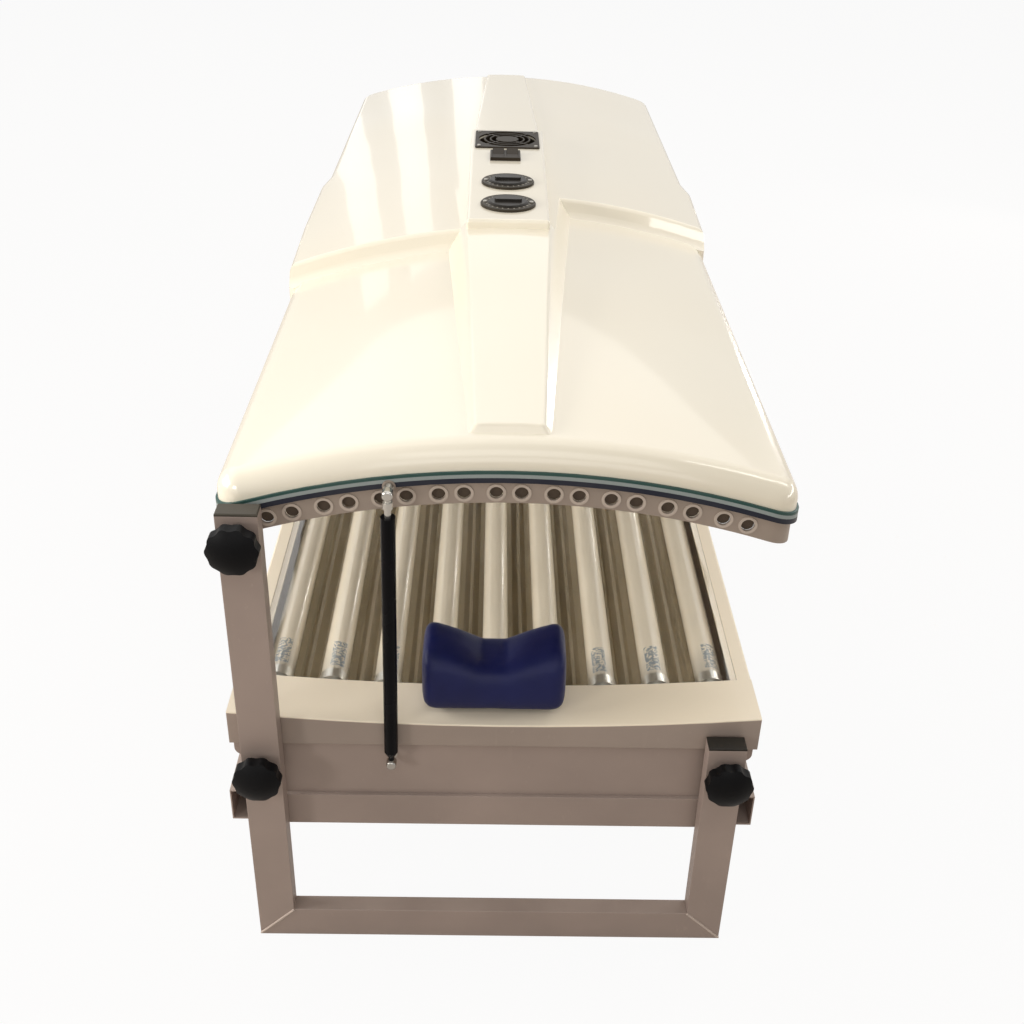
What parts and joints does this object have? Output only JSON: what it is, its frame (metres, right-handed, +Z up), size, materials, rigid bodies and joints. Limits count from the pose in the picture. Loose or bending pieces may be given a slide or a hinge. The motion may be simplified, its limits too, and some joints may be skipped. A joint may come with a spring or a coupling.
{
  "type": "clamshell tanning bed",
  "caption": "Domestic lie-down sunbed: a lamp bed held between two U-shaped tube end frames, with an arched lamp canopy that lifts sideways on gas struts",
  "frame": {"origin": "on the floor, in the middle of the footprint's bounding box", "axes": "+X towards the side that opens, +Y from the head end (neck pillow) to the foot end, +Z up"},
  "size_m": [0.733, 2.0878, 0.831],
  "materials": {
    "frame_paint": "satin taupe-grey paint",
    "tray_paint": "white-grey stoved paint",
    "cream_plastic": "gloss cream",
    "trim_stripe": "gloss dark blue with paler stripes",
    "black_plastic": "satin black",
    "black_gloss": "gloss black",
    "bush_nylon": "grey nylon",
    "clear_sheet": "clear acrylic sheet",
    "lamp_glass": "phosphor-coated tube, off",
    "lamp_cap": "bright",
    "holder_white": "white",
    "reflector": "bright anodised",
    "zinc": "zinc plated",
    "chrome": "polished",
    "strut_black": "gloss black",
    "choke": "black lacquer",
    "vent_grey": "grey-beige",
    "pillow_vinyl": "navy vinyl"
  },
  "bodies": {
    "stand": {"bed_acrylic": "clear_sheet", "bed_bushes": "bush_nylon", "bed_chokes": "choke", "bed_cross_members": "frame_paint", "bed_end_fascias": "frame_paint", "bed_end_strips": "cream_plastic", "bed_lamp_caps": "lamp_cap", "bed_lamp_holders": "holder_white", "bed_lamp_tubes": "lamp_glass", "bed_rails": "frame_paint", "bed_reflector": "reflector", "bed_side_trims": "cream_plastic", "bed_tray": "tray_paint", "foot_end_panel": "frame_paint", "foot_foot_tube": "frame_paint", "foot_short_post": "frame_paint", "foot_tall_post": "frame_paint", "head_end_panel": "frame_paint", "head_foot_tube": "frame_paint", "head_short_post": "frame_paint", "head_tall_post": "frame_paint", "mains_gland": "black_plastic", "neck_pillow": "pillow_vinyl", "post_caps": "black_plastic", "strut_lower_studs": "chrome", "tray_stools": "frame_paint"},
    "canopy": {"canopy_acrylic": "clear_sheet", "canopy_chokes": "choke", "canopy_cross_straps": "zinc", "canopy_lamp_caps": "lamp_cap", "canopy_lamp_holders": "holder_white", "canopy_lamp_tubes": "lamp_glass", "canopy_reflector": "reflector", "canopy_shell": "cream_plastic", "canopy_side_channels": "frame_paint", "canopy_trim": "trim_stripe", "console_screws": "zinc", "fan_guard": "black_plastic", "fan_housing": "black_plastic", "foot_end_plate": "frame_paint", "head_end_plate": "frame_paint", "pivot_bushes": "bush_nylon", "switch_housing": "black_plastic", "timers": "black_plastic", "vent_rings": "vent_grey"},
    "head_strut_cylinder": {"head_strut_cylinder": "strut_black"},
    "foot_strut_cylinder": {"foot_strut_cylinder": "strut_black"},
    "head_strut_rod": {"head_strut_rod": "chrome"},
    "foot_strut_rod": {"foot_strut_rod": "chrome"},
    "head_pivot_knob": {"head_pivot_knob": "black_plastic"},
    "foot_pivot_knob": {"foot_pivot_knob": "black_plastic"},
    "head_left_knob": {"head_left_knob": "black_plastic"},
    "foot_left_knob": {"foot_left_knob": "black_plastic"},
    "head_right_knob": {"head_right_knob": "black_plastic"},
    "foot_right_knob": {"foot_right_knob": "black_plastic"},
    "fan_rotor": {"fan_rotor": "black_plastic"},
    "left_rocker": {"left_rocker": "black_gloss"},
    "right_rocker": {"right_rocker": "black_gloss"},
    "head_timer_knob": {"head_timer_knob": "black_gloss"},
    "foot_timer_knob": {"foot_timer_knob": "black_gloss"}
  },
  "joints": [
    {"name": "canopy_hinge", "type": "hinge", "parent": "stand", "child": "canopy", "pos_m": [-0.313, 0, 0.6645], "axis": [0, -1, 0], "range_deg": [0, 45]},
    {"name": "head_strut_swing", "type": "hinge", "parent": "stand", "child": "head_strut_cylinder", "pos_m": [-0.1425, -0.99, 0.309], "axis": [0, -1, 0], "range_deg": [0, 10]},
    {"name": "head_strut_slide", "type": "slide", "parent": "head_strut_cylinder", "child": "head_strut_rod", "axis": [0.0146, 0, 0.9999], "range_m": [0, 0.1205]},
    {"name": "foot_strut_swing", "type": "hinge", "parent": "stand", "child": "foot_strut_cylinder", "pos_m": [-0.1425, 0.99, 0.309], "axis": [0, -1, 0], "range_deg": [0, 10]},
    {"name": "foot_strut_slide", "type": "slide", "parent": "foot_strut_cylinder", "child": "foot_strut_rod", "axis": [0.0146, 0, 0.9999], "range_m": [0, 0.1205]},
    {"name": "head_pivot_knob_turn", "type": "hinge", "parent": "stand", "child": "head_pivot_knob", "pos_m": [-0.313, -1.02, 0.6645], "axis": [0, -1, 0], "continuous": true},
    {"name": "head_left_knob_turn", "type": "hinge", "parent": "stand", "child": "head_left_knob", "pos_m": [-0.313, -1.02, 0.313], "axis": [0, -1, 0], "continuous": true},
    {"name": "head_right_knob_turn", "type": "hinge", "parent": "stand", "child": "head_right_knob", "pos_m": [0.3, -1.02, 0.313], "axis": [0, -1, 0], "continuous": true},
    {"name": "foot_pivot_knob_turn", "type": "hinge", "parent": "stand", "child": "foot_pivot_knob", "pos_m": [-0.313, 1.02, 0.6645], "axis": [0, 1, 0], "continuous": true},
    {"name": "foot_left_knob_turn", "type": "hinge", "parent": "stand", "child": "foot_left_knob", "pos_m": [-0.313, 1.02, 0.313], "axis": [0, 1, 0], "continuous": true},
    {"name": "foot_right_knob_turn", "type": "hinge", "parent": "stand", "child": "foot_right_knob", "pos_m": [0.3, 1.02, 0.313], "axis": [0, 1, 0], "continuous": true},
    {"name": "fan_spin", "type": "hinge", "parent": "canopy", "child": "fan_rotor", "pos_m": [0.0045, 0.2445, 0.8], "axis": [0, 0, 1], "continuous": true},
    {"name": "left_rocker_tip", "type": "hinge", "parent": "canopy", "child": "left_rocker", "pos_m": [0.0005, 0.1215, 0.821], "axis": [-1, 0, 0], "range_deg": [0, 14]},
    {"name": "right_rocker_tip", "type": "hinge", "parent": "canopy", "child": "right_rocker", "pos_m": [0.0005, 0.1215, 0.821], "axis": [-1, 0, 0], "range_deg": [0, 14]},
    {"name": "head_timer_turn", "type": "hinge", "parent": "canopy", "child": "head_timer_knob", "pos_m": [0.0045, -0.1805, 0.825], "axis": [0, 0, -1], "range_deg": [0, 300]},
    {"name": "foot_timer_turn", "type": "hinge", "parent": "canopy", "child": "foot_timer_knob", "pos_m": [0.0045, -0.0505, 0.825], "axis": [0, 0, -1], "range_deg": [0, 300]}
  ],
  "couplings": [
    {"joint": "head_strut_swing", "follows": "canopy_hinge", "ratio": 0.215},
    {"joint": "head_strut_slide", "follows": "canopy_hinge", "m_per_rad": 0.153},
    {"joint": "foot_strut_swing", "follows": "canopy_hinge", "ratio": 0.215},
    {"joint": "foot_strut_slide", "follows": "canopy_hinge", "m_per_rad": 0.153}
  ]
}
